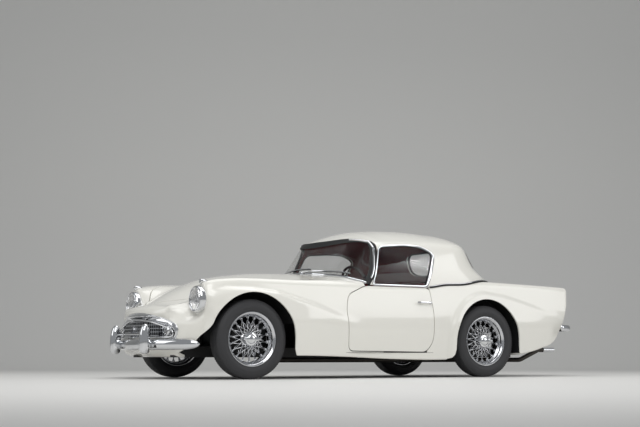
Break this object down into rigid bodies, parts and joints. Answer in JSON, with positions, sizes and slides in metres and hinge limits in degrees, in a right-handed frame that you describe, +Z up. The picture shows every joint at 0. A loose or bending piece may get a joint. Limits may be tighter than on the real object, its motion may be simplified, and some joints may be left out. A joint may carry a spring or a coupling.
{
  "type": "two-seat roadster",
  "caption": "Small open two-seat sports car with a removable hardtop, rounded nose, arch flares, tail fins and wire wheels; doors, bonnet, boot lid, steering and wheels move",
  "frame": {"origin": "on the ground, under the middle of the overall length and width", "axes": "+X to the rear, +Y to the car's right, +Z up"},
  "size_m": [4.077, 1.536, 1.2512],
  "materials": {
    "paint": "gloss white paint on a moulded body",
    "chrome": "bright plated",
    "glass": "clear",
    "lamp": "fluted lens in a plated rim",
    "tyre": "matt black",
    "leather": "dark red hide",
    "trim": "dark red covering",
    "rim_plastic": "gloss black",
    "iron": "as cast, painted",
    "steel": "dull, heat stained",
    "tub": "black underbody moulding",
    "frame_steel": "black chassis paint"
  },
  "bodies": {
    "body": {"front_wing_right": "paint", "front_wing_left": "paint", "scuttle": "paint", "nose_panel": "paint", "rear_wing_right": "paint", "rear_wing_left": "paint", "rear_deck": "paint", "tail_panel": "paint", "sill_right": "paint", "sill_left": "paint", "floor_pan": "tub", "bulkhead": "tub", "boot_bulkhead": "tub", "hardtop": "paint", "rear_window": "glass", "windscreen_frame": "chrome", "windscreen": "glass", "grille": "chrome", "headlamp_right": "lamp", "headlamp_left": "lamp", "front_bumper": "chrome", "rear_bumper_right": "chrome", "rear_bumper_left": "chrome", "tail_lamp_right": "lamp", "tail_lamp_left": "lamp", "chassis_frame": "frame_steel", "engine_block": "iron", "front_suspension": "frame_steel", "rear_axle": "frame_steel", "leaf_spring_right": "frame_steel", "leaf_spring_left": "frame_steel", "exhaust": "steel", "seat_right": "leather", "seat_left": "leather", "steering_column": "frame_steel", "dashboard": "trim"},
    "door_right": {"door_right": "paint", "door_glass_right": "glass"},
    "door_left": {"door_left": "paint", "door_glass_left": "glass"},
    "bonnet": {"bonnet": "paint"},
    "boot_lid": {"boot_lid": "paint"},
    "knuckle_right": {"knuckle_right": "frame_steel"},
    "knuckle_left": {"knuckle_left": "frame_steel"},
    "steering_wheel": {"steering_wheel": "rim_plastic"},
    "wheel_front_right": {"tyre_front_right": "tyre", "wheel_front_right": "chrome"},
    "wheel_front_left": {"tyre_front_left": "tyre", "wheel_front_left": "chrome"},
    "wheel_rear_right": {"tyre_rear_right": "tyre", "wheel_rear_right": "chrome"},
    "wheel_rear_left": {"tyre_rear_left": "tyre", "wheel_rear_left": "chrome"}
  },
  "joints": [
    {"name": "door_right_hinge", "type": "hinge", "parent": "body", "child": "door_right", "pos_m": [-0.3985, 0.7105, 0.48], "axis": [0, 0, 1], "range_deg": [0, 62]},
    {"name": "door_left_hinge", "type": "hinge", "parent": "body", "child": "door_left", "pos_m": [-0.3985, -0.7105, 0.48], "axis": [0, 0, -1], "range_deg": [0, 62]},
    {"name": "bonnet_hinge", "type": "hinge", "parent": "body", "child": "bonnet", "pos_m": [-0.55, 0, 0.858], "axis": [0, 1, 0], "range_deg": [0, 48]},
    {"name": "boot_lid_hinge", "type": "hinge", "parent": "body", "child": "boot_lid", "pos_m": [1.437, 0, 0.842], "axis": [0, -1, 0], "range_deg": [0, 58]},
    {"name": "steer_left", "type": "hinge", "parent": "body", "child": "knuckle_left", "pos_m": [-1.2885, -0.545, 0.307], "axis": [0, 0, 1], "range_deg": [-28, 28]},
    {"name": "steer_right", "type": "hinge", "parent": "body", "child": "knuckle_right", "pos_m": [-1.2885, 0.545, 0.307], "axis": [0, 0, 1], "range_deg": [-28, 28]},
    {"name": "steering_wheel_turn", "type": "hinge", "parent": "body", "child": "steering_wheel", "pos_m": [-0.0736, -0.345, 0.7407], "axis": [0.9331, 0, 0.3595], "range_deg": [-420, 420]},
    {"name": "spin_front_right", "type": "hinge", "parent": "knuckle_right", "child": "wheel_front_right", "pos_m": [-1.2885, 0.635, 0.307], "axis": [0, 1, 0], "continuous": true},
    {"name": "spin_front_left", "type": "hinge", "parent": "knuckle_left", "child": "wheel_front_left", "pos_m": [-1.2885, -0.635, 0.307], "axis": [0, 1, 0], "continuous": true},
    {"name": "spin_rear_right", "type": "hinge", "parent": "body", "child": "wheel_rear_right", "pos_m": [1.0485, 0.6095, 0.307], "axis": [0, 1, 0], "continuous": true},
    {"name": "spin_rear_left", "type": "hinge", "parent": "body", "child": "wheel_rear_left", "pos_m": [1.0485, -0.6095, 0.307], "axis": [0, 1, 0], "continuous": true}
  ],
  "couplings": [
    {"joint": "steer_right", "follows": "steer_left", "ratio": 1},
    {"joint": "steering_wheel_turn", "follows": "steer_left", "ratio": 15}
  ]
}
